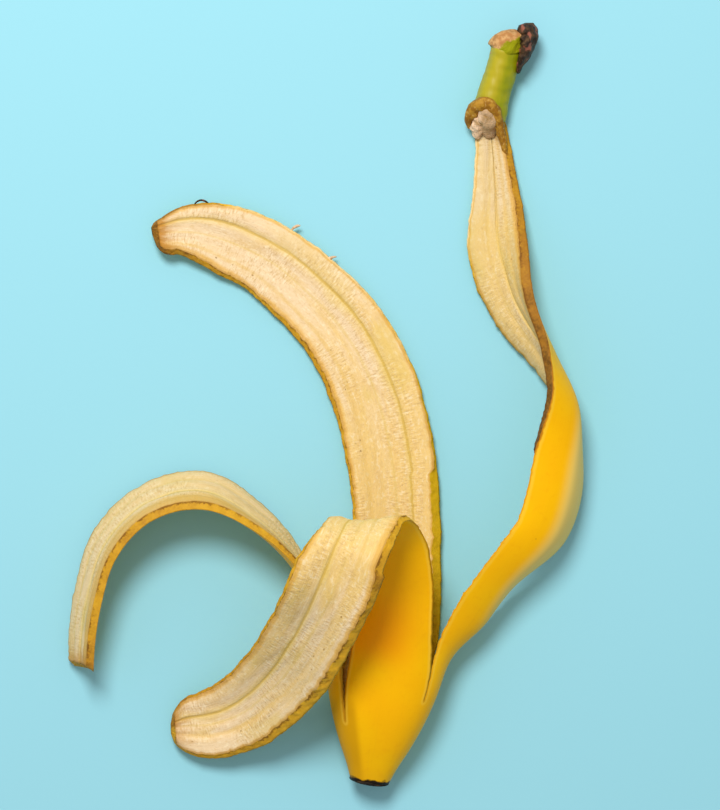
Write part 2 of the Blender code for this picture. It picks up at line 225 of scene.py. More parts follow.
INNER_STRIP = {
    "ring": (228, 318), "splits": (SPLIT_UNDER_INNER, SPLIT_INNER_TOP),
    "end": (2, 2, 0.15), "ridge": (0.0, 0.5),
    "stations": (
        (-0.3, -69.9, 11.2, 270, 90, 21.5, 60), (-9.8, -48.7, 11.5, 244, 85, 21.5, 50),
        (-21.9, -35.9, 11.0, 220, 73, 21.5, 50), (-37.2, -27.7, 10.5, 185, 61, 21.5, 40),
        (-53.4, -31.8, 10.2, 150, 60, 21.5, 40), (-64.2, -43.5, 9.8, 123, 60, 20.5, 40),
        (-68.8, -58.1, 9.2, 107, 61, 19.5, 40), (-70.8, -78.7, 8.2, 95, 63, 18.0, 40),
    ),
    "veins": ((0.0, 0.05, 0.0), (0.55, 0.5, 0.5), (-0.5, -0.55, -0.5)),
    "dull": 0.6,
    "warm": ((18, 0.8), (60, 0.9), (85, 0.5), (120, 0.3), (171, 0.5)),
    "torn": (
        ((24, 0.3, 0.5, 0.3, 0, 1), (74, 0.3, 0.5, 0.4, 0, 1), (82, 0.3, 0.5, 0.75, 0, 2),
         (92, 0.3, 0.5, 0.4, 0, 1.2), (130, 0.3, 0.5, 0.5, 0, 1.5), (171, 0.3, 0.5, 0.5, 0, 1)),
        ((18, 0.8, 0.6, 0.3, 0, 18), (48, 1.3, 0.7, 0.4, 0, 18), (66, 1.5, 0.7, 0.4, 0, 15),
         (90, 1.6, 0.8, 0.35, 0, 12), (120, 1.6, 0.8, 0.5, 0, 13), (150, 1.7, 0.8, 0.4, 0, 11),
         (171, 1.8, 0.8, 0.65, 0, 8)),
    ),
}
STRIPS = (TOP_STRIP, OUTER_STRIP, UNDER_STRIP, INNER_STRIP)

# Threads on the edge of the long strip: a dark curl and two pale wisps.
CURL_RINGS = (
    (-39.3, 59.7, 4.6, 0.18, 0.18), (-38.4, 60.5, 5.2, 0.28, 0.26), (-37.2, 60.8, 5.4, 0.30, 0.28),
    (-36.1, 60.5, 5.2, 0.28, 0.26), (-35.1, 59.7, 4.6, 0.18, 0.18),
)
WEST_WISP_RINGS = (
    (-10.4, 52.0, 2.8, 0.25, 0.25), (-9.5, 52.9, 3.2, 0.42, 0.34), (-8.6, 53.3, 3.5, 0.36, 0.30),
    (-7.8, 53.3, 3.7, 0.16, 0.16),
)
EAST_WISP_RINGS = (
    (0.2, 43.2, 2.7, 0.25, 0.25), (1.2, 43.7, 3.1, 0.42, 0.34), (2.2, 44.0, 3.4, 0.34, 0.30),
    (3.0, 44.0, 3.6, 0.16, 0.16),
)
# Dried blossom end: rings from inside outwards, each with distance back and half sizes.
BLOSSOM_SCAR = ((1.0, 5.2, 4.1), (0.7, 5.7, 4.6), (0.4, 5.8, 4.7), (0.0, 5.6, 4.5), (-0.3, 5.0, 3.9))

# Stem: rings along its axis, each with east, north, height, half width, half height.
STEM_RINGS = (
    (48.6, 84.5, 5.0, 4.6, 3.8), (48.8, 87.0, 5.2, 5.0, 4.4), (49.1, 89.5, 5.4, 5.0, 4.7),
    (49.9, 93.0, 5.7, 4.8, 4.7), (51.4, 97.5, 6.1, 4.7, 4.6), (52.8, 102.5, 6.7, 4.6, 4.6),
    (53.6, 105.6, 7.1, 4.6, 4.6), (54.0, 107.0, 7.3, 3.9, 3.9),
)
# The dried cut end: a tan callus, and the dark skin left hanging on its east side.
CALLUS_RINGS = (
    (54.9, 104.0, 7.2, 4.2, 4.0), (54.3, 105.7, 7.4, 5.0, 4.8), (53.6, 107.3, 7.6, 5.2, 4.9),
    (53.0, 108.7, 7.8, 4.9, 4.5), (52.5, 109.8, 8.0, 3.9, 3.5), (52.2, 110.6, 8.1, 2.3, 2.1),
)
# Green skin ends on the callus along a slanting line: north = CALLUS_LINE + CALLUS_SLOPE * east.
CALLUS_SLOPE = 0.52
CALLUS_LINE = 78.3
CALLUS_SOFT = 0.4
HUSK_RINGS = (
    (57.1, 98.6, 7.6, 0.5, 1.0), (57.6, 100.8, 7.6, 1.1, 2.4), (58.7, 104.0, 7.6, 2.0, 4.0),
    (59.7, 107.2, 7.7, 2.6, 4.5), (59.9, 109.8, 7.9, 2.9, 4.4), (59.6, 111.8, 8.1, 2.8, 3.6),
    (59.4, 113.0, 8.2, 2.2, 2.4),
)
# Torn collar at the foot of the stem, arched over it from west to east, and fruit under it.
COLLAR_RINGS = (
    (42.7, 82.4, 4.0, 0.5, 0.5), (42.5, 84.6, 5.4, 1.3, 1.3), (43.5, 87.0, 7.8, 2.0, 1.7),
    (45.4, 88.8, 9.4, 2.1, 1.8), (47.6, 89.2, 10.0, 2.0, 1.8), (49.6, 87.8, 9.6, 1.9, 1.7),
    (50.9, 85.2, 8.2, 1.6, 1.5), (51.9, 82.0, 6.2, 1.4, 1.3), (52.9, 78.2, 4.4, 1.1, 1.0),
    (53.8, 74.0, 2.8, 0.4, 0.5),
)
PULP_RINGS = (
    (48.9, 79.8, 3.0, 1.4, 0.5), (48.6, 82.0, 4.4, 2.6, 1.6), (48.4, 84.4, 6.4, 3.3, 2.6),
    (48.1, 86.6, 7.9, 3.3, 2.6), (47.9, 88.3, 8.8, 2.6, 1.9), (47.8, 89.2, 9.0, 1.4, 1.0),
)
SHRED_RINGS = (
    (45.4, 79.4, 3.2, 0.6, 0.5), (45.1, 81.2, 4.2, 1.7, 1.2), (45.2, 83.2, 5.2, 2.1, 1.7),
    (45.9, 85.0, 6.4, 1.9, 1.7), (46.8, 86.4, 7.6, 0.9, 0.9),
)


# Shape of the skin, from the distance along each strip and the place across it.
def ease(x):
    """Smooth step from 0 to 1."""
    x = np.clip(x, 0, 1)
    return x * x * (3 - 2 * x)


def ramp(along, start, length):
    """0 up to the start, 1 after the length, smooth in between."""
    return ease((along - start) / length)


def curve(knots, values, at):
    """Smooth curve through the values, its slopes from a parabola through each three."""
    knots = np.asarray(knots, float)
    values = np.asarray(values, float)
    at = np.asarray(at, float)
    tail = (1,) * (values.ndim - 1)
    step = np.diff(knots)
    slope = np.diff(values, axis=0) / step.reshape((-1,) + tail)
    share = (step[1:] / (step[1:] + step[:-1])).reshape((-1,) + tail)
    tangent = np.empty_like(values)
    tangent[1:-1] = share * slope[:-1] + (1 - share) * slope[1:]
    tangent[0] = 2 * slope[0] - tangent[1]
    tangent[-1] = 2 * slope[-1] - tangent[-2]
    i = np.clip(np.searchsorted(knots, at, side="right") - 1, 0, len(step) - 1)
    t = ((at - knots[i]) / step[i])[(...,) + (None,) * (values.ndim - 1)]
    h = step[i].reshape(t.shape)
    t2 = t * t
    t3 = t2 * t
    start = (2 * t3 - 3 * t2 + 1) * values[i] + (t3 - 2 * t2 + t) * h * tangent[i]
    stop = (3 * t2 - 2 * t3) * values[i + 1] + (t3 - t2) * h * tangent[i + 1]
    return start + stop


def unit(vectors):
    return vectors / np.linalg.norm(vectors, axis=-1, keepdims=True)


def base_point(along, ring):
    """Skin of the closed cone: distance from the tip, angle round the ring."""
    lean = math.radians(BASE_BEARING)
    axis = np.array([math.sin(lean), math.cos(lean), 0.0])
    side = np.array([math.cos(lean), -math.sin(lean), 0.0])
    width = curve(BASE_ALONG, BASE_HALF_WIDTH, along)
    height = curve(BASE_ALONG, BASE_HALF_HEIGHT, along)
    middle = curve(BASE_ALONG, BASE_AXIS_HEIGHT, along)
    point = np.array([TIP_EAST, TIP_NORTH, 0.0]) + axis * along[..., None]
    sine = np.sin(ring)
    cosine = np.cos(ring)
    point = point + side * (width * np.sign(sine) * np.abs(sine) ** BASE_SQUARENESS)[..., None]
    point[..., 2] += middle + height * np.sign(cosine) * np.abs(cosine) ** BASE_SQUARENESS
    return point


def arc_length(points):
    return np.concatenate([[0.0], np.cumsum(np.linalg.norm(np.diff(points, axis=0), axis=1))])


def across_line(bearing, rise):
    b = math.radians(bearing)
    r = math.radians(rise)
    return (math.sin(b) * math.cos(r), math.cos(b) * math.cos(r), math.sin(r))


def ragged(along, seed, longest=30.0, shortest=1.6, waves=11):
    """Uneven torn line: a seeded sum of waves, about -1 to 1."""
    draw = np.random.RandomState(seed)
    total = np.zeros_like(along)
    for length in np.geomspace(longest, shortest, waves):
        length = length * draw.uniform(0.85, 1.15)
        phase = draw.uniform(0, 2 * math.pi)
        total = total + (length / longest) ** 0.4 * np.sin(2 * math.pi * along / length + phase)
    return total / 2.5


class Strip:
    """Skin of one strip."""

    def __init__(self, shape, number):
        self.number = number
        self.ring = np.radians(shape["ring"])
        self.splits = shape["splits"]
        self.end = shape["end"]
        self.ridge = shape["ridge"]
        self.veins = shape["veins"]
        self.sides = [np.array(side, float) for side in shape["torn"]]
        self.warm = np.array(shape["warm"], float)
        self.pale = shape.get("pale", 0.0)
        self.dull = shape.get("dull", 0.0)
        stations = np.array(shape["stations"], float)
        root = np.array([FIRST_STATION - ROOT_LEAD, FIRST_STATION])
        middle = np.full(2, self.ring.mean())
        path = np.vstack([base_point(root, middle), stations[:, :3]])
        chord = arc_length(path)
        fine = np.linspace(0, chord[-1], PATH_STEPS)
        self.path = curve(chord, path, fine)
        walked = arc_length(self.path)
        shift = FIRST_STATION - np.interp(chord[1], fine, walked)
        self.walked = walked + shift
        self.length = self.walked[-1]
        self.knots = np.interp(chord[1:], fine, self.walked)
        self.travel = unit(np.gradient(self.path, axis=0))
        rim = base_point(np.full(RING_STEPS, FIRST_STATION), np.linspace(*self.ring, RING_STEPS))
        root_across = unit(rim[-1] - rim[0])
        self.across = np.vstack([root_across, [across_line(*row[3:5]) for row in stations]])
        self.width = np.concatenate([[arc_length(rim)[-1]], stations[:, 5]])
        self.bow = np.concatenate([[self.ring[1] - self.ring[0]], np.radians(stations[:, 6])])
        self.set_grid()

    def set_grid(self):
        """Distance along and place across at each point of the mesh."""
        common = np.arange(0, COMMON_LENGTH + BASE_ROW / 2, BASE_ROW)
        count = round((self.length - common[-1]) / STRIP_ROW)
        rows = np.concatenate([common, np.linspace(common[-1], self.length, count + 1)[1:]])
        self.grid = np.meshgrid(rows, np.linspace(-1, 1, COLUMNS + 1), indexing="ij")

    def width_at(self, along):
        return curve(self.knots, self.width, np.maximum(along, FIRST_STATION))

    def vein_places(self, along):
        """Place across of each vein of the inner face."""
        run = (along - FIRST_STATION) / (self.length - FIRST_STATION)
        return [np.interp(run, (0, 0.5, 1), vein) for vein in self.veins]

    def spread(self, along):
        """Middle of the skin, and the directions across and outward."""
        point = np.stack([np.interp(along, self.walked, self.path[:, k]) for k in range(3)], -1)
        travel = unit(np.stack([np.interp(along, self.walked, self.travel[:, k]) for k in range(3)], -1))
        across = curve(self.knots, self.across, along)
        across = unit(across - travel * (across * travel).sum(-1, keepdims=True))
        return point, across, np.cross(across, travel)

    def trimmed(self, along, place):
        """Narrow the strip towards its rounded end, each side over its own length."""
        left = self.length - along
        low, high, depth = self.end
        cut = [depth * (1 - np.sqrt(1 - (1 - np.clip(left / size, 0, 1)) ** 2)) for size in (low, high)]
        return (-1 + cut[0]) + (2 - cut[0] - cut[1]) * (place + 1) / 2

    def free_point(self, along, place):
        """Skin past the split: a bowed section with a soft ridge, carried along the path."""
        along = np.maximum(along, FIRST_STATION)
        point, across, outward = self.spread(along)
        width = curve(self.knots, self.width, along)
        bow = curve(self.knots, self.bow, along)
        place = self.trimmed(along, place)
        radius = width / bow
        angle = bow / 2 * place
        where, height = self.ridge
        slope = np.sqrt((place - where) ** 2 + RIDGE_ROUND)
        crest = height * width / RIDGE_WIDTH * (RIDGE_LIFT - slope)
        crest = crest * ramp(along, *RIDGE_GROWTH)
        point = point + across * (radius * np.sin(angle))[..., None]
        return point + outward * (radius * (np.cos(angle) - 1) + crest)[..., None]

    def point(self, along, place):
        """Skin of the strip, blended from the base ring into its own path after each split."""
        ring = self.ring[0] + (self.ring[1] - self.ring[0]) * (place + 1) / 2
        closed = base_point(np.minimum(along, BASE_ALONG[-1]), ring)
        low, high = [ramp(along, split, BLEND_LENGTH) for split in self.splits]
        free = (low + (high - low) * (place + 1) / 2)[..., None]
        return closed * (1 - free) + self.free_point(along, place) * free

    def side_at(self, side, along, column):
        """A value of one torn side; it grows from nothing after the split."""
        table = self.sides[side]
        return np.interp(along, table[:, 0], table[:, column])

    def torn(self, along, place):
        """Places shifted near the torn edges, so that these run unevenly."""
        half = self.width_at(along) / 2
        shift = []
        for side in (0, 1):
            waves = ragged(along, EDGE_SEED + self.number + 10 * side)
            uneven = self.side_at(side, along, 4) + EDGE_UNEVEN * waves
            shift.append(ramp(along, self.splits[side], EDGE_RAMP) * uneven / half)
        return place + np.where(place < 0, -shift[0], shift[1]) * np.abs(place) ** EDGE_POWER

    def inset(self, along, side):
        """How far the inner layer stays back from a torn edge, as a part of the half width."""
        half = self.width_at(along) / 2
        back = self.side_at(side, along, 1)
        waves = ragged(along, INSET_SEED + self.number + 4 * side, *INSET_WAVES)
        back = back + (INSET_UNEVEN + INSET_UNEVEN_SHARE * np.abs(back)) * waves
        grown = ramp(along, self.splits[side], INSET_RAMP)
        return grown * np.clip(back / half, LEAST_INSET, WIDEST_INSET)

    def thickness(self, along, place):
        """Thinner towards the torn edges, with low ridges and grooves on the inner face."""
        half = self.width_at(along) / 2
        share = []
        for side in (0, 1):
            thin = 1 - self.side_at(side, along, 2)
            share.append(1 - ramp(along, self.splits[side], THIN_RAMP) * thin)
        edge = np.where(place < 0, share[0], share[1])
        deep = THICKNESS * (edge + (1 - edge) * (1 - np.abs(place) ** THIN_POWER))
        across = place * half
        wander = GROOVE_WANDER * ragged(along, GROOVE_SEED + self.number, *GROOVE_WAVES)
        relief = GROOVE_DEPTH * np.sin(across * GROOVE_TURN + wander)
        relief = relief + DENT_DEPTH * ragged(along + 3 * across, DENT_SEED + self.number, *DENT_WAVES)
        for centre, low in zip(self.vein_places(along), VEIN_DEPTHS):
            away = (place - centre) * half + VEIN_WANDER * wander
            relief = relief - low * np.exp(-(away / VEIN_WIDTH) ** 2)
        relief = relief * (1 - np.abs(place) ** RELIEF_POWER)
        return deep + relief * ramp(along, *RELIEF_GROWTH)

    def layers(self):
        """Points of the outer skin and of the inner layer under it, before its depth."""
        along, place = self.grid
        place = self.torn(along, place)
        outer = self.point(along, place)
        back = END_SET_BACK * ramp(along, self.length - END_RAMP, END_RAMP) * (self.end[2] > 0)
        inset = np.where(place < 0, self.inset(along, 0), self.inset(along, 1))
        inner = self.point(along - back, place * (1 - inset))
        return outer, inner

    def looks(self, inner):
        """What the finishes read at each vertex."""
        along, place = self.grid
        half = self.width_at(along) / 2
        free = [(along > split) for split in self.splits]
        sides = [half * (1 + place), half * (1 - place)]
        early = [np.maximum(split - along, 0) for split in self.splits]
        edges = [np.where(f, s, np.hypot(s, e)) for f, s, e in zip(free, sides, early)]
        edge = np.minimum(edges[0], edges[1])
        if self.end[2] > 0:
            edge = np.minimum(edge, self.length - along)
        vein = [(place - centre) * half for centre in self.vein_places(along)]
        # pale: where the painted sheen lies on the outer facet.
        pale = ramp(along, *SHEEN_START) * (1 - ramp(along, *SHEEN_STOP)) * ramp(place, *SHEEN_SIDE)
        stain = [ease(1 - e / self.side_at(k, along, 5)) for k, e in enumerate(edges)]
        return {
            "fibre": np.stack([place * half, along, np.full_like(along, 40.0 * self.number)], -1),
            "veins": np.stack(vein, -1),
            "edge": edge,
            "brown": np.where(place < 0, self.side_at(0, along, 3), self.side_at(1, along, 3)),
            "stain": np.maximum(stain[0], stain[1]),
            "warm": np.interp(along, self.warm[:, 0], self.warm[:, 1]),
            "pale": self.pale * pale,
            # dull: painted shade on the inner face.
            "dull": np.full_like(along, self.dull),
            "depth": np.full_like(along, 1.0 if inner else 0.0),
            "run": along,
            "left": self.length - along,
            "strip": np.full_like(along, float(self.number)),
        }


def grid_normals(grids, strips):
    """Outward direction on each grid of points, even across the seams."""
    normals = []
    for points in grids:
        down = np.gradient(points, axis=0)
        over = np.gradient(points, axis=1)
        normals.append(unit(np.cross(over, down)))
    for k, strip in enumerate(strips):
        before = (k - 1) % len(strips)
        held = round(strip.splits[0] / BASE_ROW) + 1
        mean = unit(normals[k][:held, 0] + normals[before][:held, -1])
        normals[k][:held, 0] = mean
        normals[before][:held, -1] = mean
    return normals


def settle(points):
    """Sink a little, flat where the peel touches the floor, and centre it."""
    points = points - np.array([CENTRE_EAST, CENTRE_NORTH, SETTLE])
    points[..., 2] = np.maximum(points[..., 2], 0.0)
    return points * MM


# Mesh making.
FLOAT_LOOKS = ("edge", "brown", "stain", "warm", "pale", "dull", "depth", "run", "left", "strip")
VECTOR_LOOKS = ("fibre", "veins")


def new_mesh():
    made = bmesh.new()
    for name in FLOAT_LOOKS:
        made.verts.layers.float.new(name)
    for name in VECTOR_LOOKS:
        made.verts.layers.float_vector.new(name)
    return made


def lay_grid(made, points, looks, finish, turned=False):
    """Grid laid through a table of points, with its looks at each vertex."""
    rows = points.shape[0] - 1
    columns = points.shape[1] - 1
    new = bmesh.ops.create_grid(made, x_segments=columns, y_segments=rows, size=1.0)
    layers = {name: made.verts.layers.float[name] for name in FLOAT_LOOKS}
    layers.update({name: made.verts.layers.float_vector[name] for name in VECTOR_LOOKS})
    faces = set()
    for vertex in new["verts"]:
        i = round((vertex.co.y + 1) / 2 * rows)
        j = round((vertex.co.x + 1) / 2 * columns)
        vertex.co = points[i, j]
        for name, values in looks.items():
            value = values[i, j]
            vertex[layers[name]] = value if name in FLOAT_LOOKS else tuple(value)
        faces.update(vertex.link_faces)
    for face in faces:
        face.material_index = finish
        face.smooth = True
    if turned:
        bmesh.ops.reverse_faces(made, faces=list(faces))
    return new["verts"]


def rim_grid(outer, inner, looks, seed):
    """Torn face between two lines of points, slightly hollow and uneven."""
    share = np.linspace(0, 1, RIM_COLUMNS + 1)
    points = outer[:, None] * (1 - share[None, :, None]) + inner[:, None] * share[None, :, None]
    travel = unit(np.gradient(outer, axis=0))
    slope = inner - outer
    facing = unit(np.cross(travel, slope))
    at = np.arange(len(outer)) * STRIP_ROW
    middle = np.sin(share * math.pi)
    uneven = np.stack([ragged(at, seed + k, *RIM_WAVES) for k in range(RIM_COLUMNS + 1)], 1)
    row = np.arange(len(outer))
    fade = ease(np.minimum(row, len(outer) - 1 - row) / RIM_FADE_ROWS)
    points = points + facing[:, None] * (uneven * fade[:, None] * middle * RIM_UNEVEN * MM)[..., None]
    shown = {name: np.repeat(values[:, None], RIM_COLUMNS + 1, axis=1) for name, values in looks.items()}
    shown["depth"] = np.repeat(share[None], len(outer), axis=0)
    shown["edge"] = np.zeros_like(shown["depth"])
    return points, shown


def close_mesh(made, weld, stand_out):
    """Weld the seams; close what is open with a fan of faces, its middle moved out or in."""
    bmesh.ops.remove_doubles(made, verts=made.verts, dist=weld)
    open_edges = [e for e in made.edges if len(e.link_faces) == 1]
    closed = bmesh.ops.edgeloop_fill(made, edges=open_edges, mat_nr=0, use_smooth=True)
    bmesh.ops.poke(made, faces=closed["faces"], offset=stand_out)


def add_object(name, data):
    thing = bpy.data.objects.new(name, data)
    bpy.context.scene.collection.objects.link(thing)
    return thing


def finish_mesh(made, name, finishes):
    """Object from the mesh, with its finishes, at the origin."""
    mesh = bpy.data.meshes.new(name)
    made.to_mesh(mesh)
    made.free()
    for finish in finishes:
        mesh.materials.append(finish)
    return add_object(name, mesh)


def make_peel(finishes):
    """The torn skin: outer side, inner side, torn faces, the blossom tip's end."""
    strips = [Strip(shape, k) for k, shape in enumerate(STRIPS)]
    layers = [strip.layers() for strip in strips]
    outers = [pair[0] for pair in layers]
    inners = [pair[1] for pair in layers]
    depths = grid_normals(inners, strips)
    made = new_mesh()
    first_inner = round(TIP_WALL / BASE_ROW)
    for strip, outer, inner, depth in zip(strips, outers, inners, depths):
        outer = settle(outer)
        inner = settle(inner - depth * strip.thickness(*strip.grid)[..., None])
        outside = strip.looks(False)
        inside = strip.looks(True)
        lay_grid(made, outer, outside, 0)
        lay_grid(made, inner[first_inner:], {k: v[first_inner:] for k, v in inside.items()}, 1, True)
        for side, column in ((0, 0), (1, -1)):
            start = round(strip.splits[side] / BASE_ROW)
            looks = {k: v[start:, column] for k, v in outside.items()}
            seed = RIM_SEED + 10 * strip.number + side
            points, shown = rim_grid(outer[start:, column], inner[start:, column], looks, seed)
            lay_grid(made, points, shown, 2, side == 0)
        looks = {k: v[-1] for k, v in outside.items()}
        points, shown = rim_grid(outer[-1], inner[-1], looks, END_SEED + strip.number)
        lay_grid(made, points, shown, 2, True)
    close_mesh(made, WELD, 0.0)
    return finish_mesh(made, "torn_peel", finishes)


def tube(name, rings, finish, around, along, ribs, lumps, seed, stand_out=0.0):
    """Closed round piece through rings; ribs, lumps and its ends' middles in millimetres."""
    table = np.array(rings, float)
    chord = arc_length(table[:, :3])
    at = np.linspace(0, chord[-1], along + 1)
    ring = curve(chord, table, at)
    travel = unit(np.gradient(ring[:, :3], axis=0))
    up = np.array([0.0, 0.0, 1.0])
    side = unit(np.cross(travel, up))
    over = np.cross(side, travel)
    turn = np.linspace(0, 2 * math.pi, around + 1)
    draw = np.random.RandomState(seed)
    wide = np.ones((along + 1, around + 1))
    wide = wide + ribs / ROUND_RADIUS * np.cos(RIB_COUNT * turn + RIB_TURN)[None]
    for count in range(1, LUMP_WAVES + 1):
        phase = draw.uniform(0, 2 * math.pi, 2)
        pitch = draw.uniform(*LUMP_PITCH)
        wave = np.sin(count * turn + phase[0])[None] * np.sin(2 * math.pi * at / pitch + phase[1])[:, None]
        wide = wide + lumps / ROUND_RADIUS / count ** LUMP_FALL * wave
    cosine = np.cos(turn)[None] * wide
    sine = np.sin(turn)[None] * wide
    points = ring[:, None, :3] + side[:, None] * (ring[:, 3:4] * cosine)[..., None]
    points = points + over[:, None] * (ring[:, 4:5] * sine)[..., None]
    made = new_mesh()
    looks = {"run": np.repeat(at[:, None], around + 1, axis=1)}
    lay_grid(made, settle(points), looks, 0, True)
    close_mesh(made, ROUND_WELD, stand_out * MM)
    bmesh.ops.recalc_face_normals(made, faces=made.faces)
    return finish_mesh(made, name, [finish])


# Finishes: their display colours, 0 to 255.
SKIN = {
    "deep yellow": (248, 180, 0), "bright yellow": (250, 188, 0), "orange cloud": (236, 160, 0),
    "streak": (232, 168, 6), "painted sheen facet": (236, 204, 112), "painted shade facet": (212, 152, 0),
    "painted bounce orange": (255, 166, 0), "freckle": (160, 96, 10), "light edge": (250, 206, 70),
    "brown rim": (186, 118, 14), "dull tip": (214, 156, 16), "black tip": (34, 24, 14),
}
PITH = {
    "pink cream": (236, 206, 162), "yellow cream": (236, 198, 122), "cloud": (222, 184, 126),
    "light mottle": (250, 232, 192), "dark mottle": (216, 178, 116), "light grain": (252, 234, 198),
    "dark grain": (208, 168, 108), "dark thread": (214, 176, 108), "light thread": (250, 230, 190),
    "yellow patch": (222, 190, 92), "dark cross": (202, 162, 104), "light cross": (252, 234, 200),
    # dull: painted shade for the inner face of the strips standing on edge.
    "dull": (190, 172, 112), "beside vein": (232, 200, 104), "main vein": (206, 166, 62),
    "second vein": (222, 180, 92), "third vein": (218, 184, 96), "speck": (150, 108, 52),
    "stain": (222, 166, 56), "torn edge": (168, 114, 36), "burnt end": (188, 126, 36),
}
TEAR = {
    "cream": (238, 208, 146), "yellow": (236, 182, 44), "ochre": (208, 154, 38),
    "brown": (166, 112, 34), "dark brown": (90, 60, 24), "shaded_olive": (192, 156, 0), "line": (120, 76, 24),
}
STEM = {
    "green": (148, 150, 0), "light green": (164, 158, 2), "yellow west": (188, 164, 36),
    "line": (186, 176, 60),
}
CALLUS = {
    "dark tan": (184, 126, 72), "tan": (214, 164, 106), "fleck": (128, 80, 44), "green": (152, 150, 6),
}
HUSK = {"black": (42, 26, 14), "brown": (92, 66, 40), "red patch": (176, 100, 78), "fleck": (150, 118, 84)}
COLLAR = {
    "brown": (148, 98, 18), "ochre": (182, 132, 38), "dark fleck": (128, 82, 30),
    "light fleck": (236, 196, 130),
}
PULP = {
    "brown": (190, 150, 100), "pink cream": (238, 202, 164), "light fleck": (248, 228, 200),
    "dark fleck": (150, 116, 74), "hollow": (158, 118, 58),
}
SCAR = {"black": (26, 20, 14), "brown": (66, 48, 30)}
FLOOR = {"pale blue": (152, 211, 223)}

# Places of some colours, each pair from none to all: painted shade on the west facet of the base,
# painted orange bounce light at the shaded foot of the rising strip, the under strip's east tear
# (yellow skin, olive with painted shade), the stem's west side, painted shade in the pulp's hollow.
FACET_EAST = 9.3
FACET_NORTH = -94.0
FACET_LEAN = -0.1
FACET_SIDE = (1.2, -1.2)
FACET_START = (-85.0, -92.0)
BOUNCE_START = (33.0, 44.0)
BOUNCE_STOP = (68.0, 47.0)
BOUNCE_ACROSS = (11.0, -2.0)
TEAR_EAST = (24.0, 28.0)
STEM_WEST = (50.6, 47.6)
STEM_LEAN = 0.23
PULP_PAINTED_SHADE = (45.4, 46.8)


def colour(display):
    """Display colour, 0 to 255, as the shader's own."""
    made = []
    for part in display:
        part = part / 255.0
        made.append(part / 12.92 if part <= 0.04045 else ((part + 0.055) / 1.055) ** 2.4)
    return (*made, 1.0)


class Value:
    """A socket that takes part in sums and products as a number does."""

    def __init__(self, paint, socket):
        self.paint = paint
        self.socket = socket

    def math(self, operation, first, second=None):
        inputs = {0: first}
        if second is not None:
            inputs[1] = second
        return self.paint.node("ShaderNodeMath", {"operation": operation}, inputs)

    def __add__(self, other):
        return self.math("ADD", self, other)

    __radd__ = __add__

    def __sub__(self, other):
        return self.math("SUBTRACT", self, other)

    def __rsub__(self, other):
        return self.math("SUBTRACT", other, self)

    def __mul__(self, other):
        return self.math("MULTIPLY", self, other)

    __rmul__ = __mul__

    def __truediv__(self, other):
        return self.math("DIVIDE", self, other)

    def __abs__(self):
        return self.math("ABSOLUTE", self)

    def between(self, low, high):
        """0 below low, 1 above high, smooth in between; low may be the larger."""
        settings = {"interpolation_type": "SMOOTHSTEP"}
        inputs = {"Value": self, "From Min": low, "From Max": high}
        return self.paint.node("ShaderNodeMapRange", settings, inputs)


class Paint:
    """A material, its named colours and the few ways its nodes are made."""

    def __init__(self, name, roughness, specular, palette):
        self.material = bpy.data.materials.new(name)
        self.material.use_nodes = True
        self.tree = self.material.node_tree
        self.shader = self.tree.nodes["Principled BSDF"]
        self.shader.inputs["Roughness"].default_value = roughness
        self.shader.inputs["Specular IOR Level"].default_value = specular
        self.colours = {key: colour(display) for key, display in palette.items()}

    def feed(self, socket, value):
        if isinstance(value, Value):
            self.tree.links.new(value.socket, socket)
        else:
            socket.default_value = value

    def node(self, kind, settings=None, inputs=None, output=0):
        made = self.tree.nodes.new(kind)
        for name, value in (settings or {}).items():
            setattr(made, name, value)
        for name, value in (inputs or {}).items():
            self.feed(made.inputs[name], value)
        return Value(self, made.outputs[output])

    def read(self, name, output="Fac"):
        """Number, or vector, stored at the piece's vertices."""
        return self.node("ShaderNodeAttribute", {"attribute_name": name}, output=output)

    def here(self):
        """Place on the object, in millimetres."""
        where = self.node("ShaderNodeTexCoord", output="Object")
        return self.stretch(where, 1 / MM)

    def stretch(self, vector, by):
        by = by if isinstance(by, tuple) else (by,) * 3
        return self.node("ShaderNodeVectorMath", {"operation": "MULTIPLY"}, {0: vector, 1: by})

    def part(self, vector, axis):
        return self.node("ShaderNodeSeparateXYZ", None, {"Vector": vector}, axis)

    def noise(self, vector, by, detail=2.0, rough=0.5):
        inputs = {"Vector": self.stretch(vector, by), "Scale": 1.0, "Detail": detail, "Roughness": rough}
        return self.node("ShaderNodeTexNoise", None, inputs)

    def spots(self, vector, by, size, some):
        """Round spots: one in each cell, in a share of the cells."""
        inputs = {"Vector": self.stretch(vector, by), "Scale": 1.0}
        near = self.node("ShaderNodeTexVoronoi", None, inputs, "Distance")
        pick = self.node("ShaderNodeTexVoronoi", None, inputs, "Color")
        chosen = self.node("ShaderNodeSeparateColor", None, {"Color": pick}, "Red")
        return near.between(size, size * 0.4) * chosen.between(some + 0.05, some)

    def mix(self, share, first, second):
        inputs = {0: share, 6: first, 7: second}
        return self.node("ShaderNodeMix", {"data_type": "RGBA"}, inputs, 2)

    def blend(self, value, low, high, first, second):
        """From one colour to another as the value goes from low to high."""
        return self.mix(value.between(low, high), self.colours[first], self.colours[second])

    def over(self, base, share, name):
        return self.mix(share, base, self.colours[name])

    def layers(self, base, rows):
        """Colours laid over the base: for each a value, its ramp from none to all, share, name."""
        for value, none, full, share, name in rows:
            base = self.over(base, value.between(none, full) * share, name)
        return base

    def on_strip(self, shape):
        """1 on one strip of the peel, 0 on the others."""
        strip = self.read("strip")
        number = STRIPS.index(shape)
        return strip.between(number - 0.5, number - 0.1) * strip.between(number + 0.5, number + 0.1)

    def bump(self, height, strength, distance):
        inputs = {"Height": height, "Strength": strength, "Distance": distance}
        return self.node("ShaderNodeBump", None, inputs)

    def finish(self, base, normal=None, roughness=None):
        self.feed(self.shader.inputs["Base Color"], base)
        if normal is not None:
            self.feed(self.shader.inputs["Normal"], normal)
        if roughness is not None:
            self.feed(self.shader.inputs["Roughness"], roughness)
        return self.material


